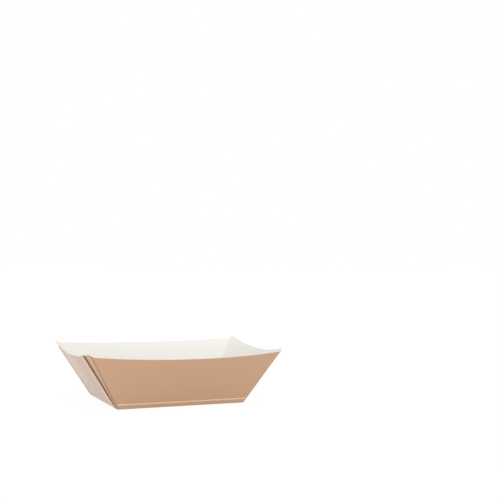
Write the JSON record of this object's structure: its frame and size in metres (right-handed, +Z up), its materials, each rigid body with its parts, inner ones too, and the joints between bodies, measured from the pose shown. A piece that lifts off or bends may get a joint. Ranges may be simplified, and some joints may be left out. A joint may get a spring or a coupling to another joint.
{
  "type": "paper food tray",
  "caption": "Folded paperboard food tray with flared, bowed side walls and glued double end walls, open at the top.",
  "frame": {"origin": "middle of the base, on its underside", "axes": "+X along the tray's length, +Y across it, +Z up out of its open mouth"},
  "size_m": [0.1678, 0.1212, 0.0454],
  "materials": {
    "board": "satin brown print outside, smooth white coating inside, pale cut edges"
  },
  "bodies": {
    "root": {"tray": "board"}
  },
  "joints": []
}
